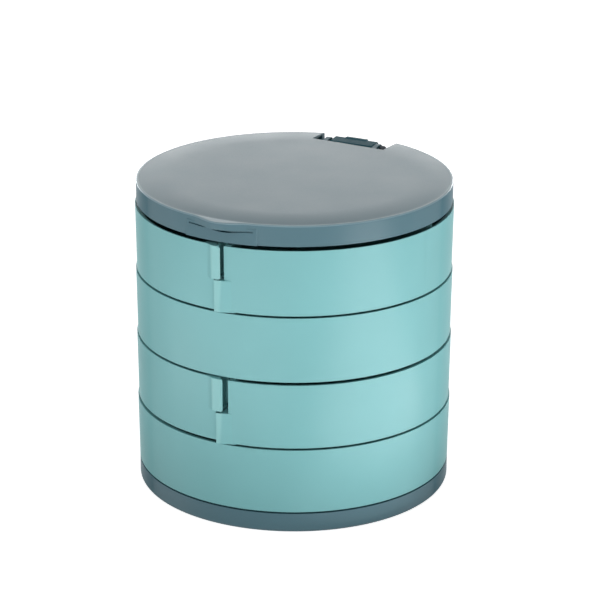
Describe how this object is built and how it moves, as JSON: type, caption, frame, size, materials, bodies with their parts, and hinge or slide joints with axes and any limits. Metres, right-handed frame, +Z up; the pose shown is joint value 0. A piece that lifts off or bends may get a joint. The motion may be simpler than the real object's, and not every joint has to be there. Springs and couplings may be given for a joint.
{
  "type": "makeup organizer box",
  "caption": "Round desk organizer with stacked tiers: split tiers swing out at the back as half trays, and a hinged lid holds a mirror.",
  "frame": {"origin": "centre of the flat underside, on the surface the box stands on", "axes": "+Z up, -Y to the front with the lid's pull lip and the finger tabs, +X to the box's right seen from the front"},
  "size_m": [0.1, 0.1017, 0.1],
  "materials": {
    "teal_plastic": "satin",
    "grey_blue_plastic": "satin",
    "dark_blue_plastic": "satin",
    "dark_pin": "satin",
    "steel": "plated",
    "mirror_glass": "polished",
    "white_foam": "matte"
  },
  "bodies": {
    "root": {"base_pan": "grey_blue_plastic", "base_tray": "teal_plastic", "middle_tray": "teal_plastic", "hinge_post": "dark_blue_plastic", "lid_hinge_pin": "dark_pin", "left_pivot_bolt": "steel", "right_pivot_bolt": "steel", "left_cap_nut": "steel", "right_cap_nut": "steel", "left_post_screw": "steel", "right_post_screw": "steel", "left_tray_screw": "steel", "right_tray_screw": "steel", "base_screw_1": "steel", "base_screw_2": "steel", "base_screw_3": "steel"},
    "lid": {"lid_shell": "grey_blue_plastic", "lid_mirror": "mirror_glass", "mirror_pad": "white_foam"},
    "lower_left": {"lower_left_wing": "teal_plastic"},
    "lower_right": {"lower_right_wing": "teal_plastic"},
    "upper_left": {"upper_left_wing": "teal_plastic"},
    "upper_right": {"upper_right_wing": "teal_plastic"}
  },
  "joints": [
    {"name": "lid_hinge", "type": "hinge", "parent": "root", "child": "lid", "pos_m": [0, 0.0424, 0.0982], "axis": [-1, 0, 0], "range_deg": [0, 95]},
    {"name": "lower_left_swing", "type": "hinge", "parent": "root", "child": "lower_left", "pos_m": [-0.0136, 0.042, 0.0386], "axis": [0, 0, -1], "range_deg": [0, 100]},
    {"name": "lower_right_swing", "type": "hinge", "parent": "root", "child": "lower_right", "pos_m": [0.0136, 0.042, 0.0383], "axis": [0, 0, 1], "range_deg": [0, 100]},
    {"name": "upper_left_swing", "type": "hinge", "parent": "root", "child": "upper_left", "pos_m": [-0.0136, 0.042, 0.0811], "axis": [0, 0, -1], "range_deg": [0, 100]},
    {"name": "upper_right_swing", "type": "hinge", "parent": "root", "child": "upper_right", "pos_m": [0.0136, 0.042, 0.0811], "axis": [0, 0, 1], "range_deg": [0, 100]}
  ]
}
